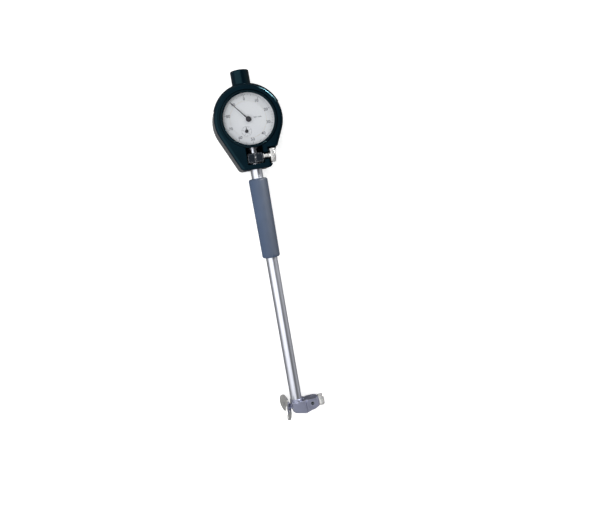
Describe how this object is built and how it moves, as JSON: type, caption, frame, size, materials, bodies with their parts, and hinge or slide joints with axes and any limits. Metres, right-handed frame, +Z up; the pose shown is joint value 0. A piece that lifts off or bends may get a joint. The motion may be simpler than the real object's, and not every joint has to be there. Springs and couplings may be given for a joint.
{
  "type": "dial bore gauge",
  "caption": "Dial bore gauge with a two-point measuring head, insulated grip, covered dial indicator and a sprung centring guide.",
  "frame": {"origin": "middle of the gauge's footprint, on the surface it lies on", "axes": "+Y along the tube towards the dial and cap, +X along the measuring axis towards the anvil socket, +Z up, square to the dial"},
  "size_m": [0.069, 0.3604, 0.044],
  "materials": {
    "satin_steel": "ground and satin plated",
    "bright_nickel": "bright nickel plate",
    "chromed_tube": "satin chrome, ground",
    "blue_grey_grip": "matt moulded sleeve",
    "black_cover": "glossy moulded",
    "black_bezel": "black enamelled rim",
    "crystal": "clear",
    "dial_white": "matt printed dial",
    "hand_black": "black enamel",
    "movement_brass": "cut brass",
    "case_metal": "satin die casting",
    "carbide": "polished hard metal",
    "rod_plastic": "moulded"
  },
  "bodies": {
    "frame": {"head_body": "satin_steel", "contact_bush": "satin_steel", "crank_pin": "satin_steel", "anvil_bush": "satin_steel", "set_screw": "satin_steel", "tube": "chromed_tube", "grip": "blue_grey_grip", "rod_guides": "rod_plastic", "clamp_body": "satin_steel", "cover_front": "black_cover", "cover_back": "black_cover", "cover_screws": "satin_steel", "top_cap": "black_cover", "case": "case_metal", "case_back": "case_metal", "stem": "chromed_tube", "spindle_bush": "movement_brass", "lower_plate": "movement_brass", "upper_plate": "movement_brass", "pillars": "movement_brass", "dial_seat": "movement_brass", "dial_plate": "dial_white", "guide_springs": "satin_steel"},
    "contact": {"contact_point": "satin_steel", "contact_ball": "carbide"},
    "crank": {"bell_crank": "satin_steel"},
    "rod": {"push_rod": "chromed_tube"},
    "spindle": {"spindle": "chromed_tube"},
    "counter": {"rack_pinion": "movement_brass", "counter_hand": "hand_black"},
    "follow_up": {"hairspring_gear": "movement_brass"},
    "hand": {"centre_pinion": "movement_brass", "long_hand": "hand_black", "hand_hub": "hand_black"},
    "bezel": {"bezel": "black_bezel", "crystal": "crystal", "dial_ring": "dial_white"},
    "guide": {"guide_plate": "bright_nickel", "guide_pins": "satin_steel"},
    "washer": {"clamp_washer": "satin_steel"},
    "knob": {"clamp_screw": "bright_nickel"},
    "nut": {"anvil_nut": "bright_nickel"}
  },
  "joints": [
    {"name": "rod_slide", "type": "slide", "parent": "frame", "child": "rod", "axis": [0, 1, 0], "range_m": [0, 0.0012]},
    {"name": "contact_slide", "type": "slide", "parent": "frame", "child": "contact", "axis": [1, 0, 0], "range_m": [0, 0.00121]},
    {"name": "crank_turn", "type": "hinge", "parent": "frame", "child": "crank", "pos_m": [-0.003, -0.1679, 0.022], "axis": [0, 0, 1], "range_deg": [0, 23]},
    {"name": "spindle_slide", "type": "slide", "parent": "frame", "child": "spindle", "axis": [0, 1, 0], "range_m": [0, 0.00121]},
    {"name": "hand_turn", "type": "hinge", "parent": "frame", "child": "hand", "pos_m": [0, 0.1306, 0.03], "axis": [0, 0, -1], "range_deg": [0, 432.2], "stiffness_Nm_per_rad": 0.000004, "springref_deg": -1145.92},
    {"name": "counter_turn", "type": "hinge", "parent": "frame", "child": "counter", "pos_m": [-0.00369, 0.11918, 0.025], "axis": [0, 0, 1], "range_deg": [0, 43.4]},
    {"name": "follow_up_turn", "type": "hinge", "parent": "frame", "child": "follow_up", "pos_m": [0.00369, 0.14202, 0.025], "axis": [0, 0, 1], "range_deg": [0, 43.4]},
    {"name": "bezel_turn", "type": "hinge", "parent": "frame", "child": "bezel", "pos_m": [0, 0.1306, 0.031], "axis": [0, 0, 1], "continuous": true},
    {"name": "guide_slide", "type": "slide", "parent": "frame", "child": "guide", "axis": [1, 0, 0], "range_m": [0, 0.0016], "stiffness_N_per_m": 300, "springref_m": -0.002, "deforming": ["guide_springs"]},
    {"name": "nut_turn", "type": "hinge", "parent": "frame", "child": "nut", "pos_m": [0.0256, -0.1709, 0.022], "axis": [1, 0, 0], "range_deg": [0, 1080]},
    {"name": "washer_slide", "type": "slide", "parent": "frame", "child": "washer", "axis": [1, 0, 0], "range_m": [0, 0.001]},
    {"name": "knob_turn", "type": "hinge", "parent": "washer", "child": "knob", "pos_m": [0.0174, 0.0925, 0.0309], "axis": [1, 0, 0], "range_deg": [0, 720.2]}
  ],
  "couplings": [
    {"joint": "contact_slide", "follows": "rod_slide", "ratio": 1},
    {"joint": "crank_turn", "follows": "rod_slide", "rad_per_m": 333.33},
    {"joint": "spindle_slide", "follows": "rod_slide", "ratio": 1},
    {"joint": "hand_turn", "follows": "rod_slide", "rad_per_m": 6283.2},
    {"joint": "counter_turn", "follows": "rod_slide", "rad_per_m": 628.32},
    {"joint": "follow_up_turn", "follows": "rod_slide", "rad_per_m": 628.32},
    {"joint": "knob_turn", "follows": "washer_slide", "rad_per_m": 12566}
  ]
}
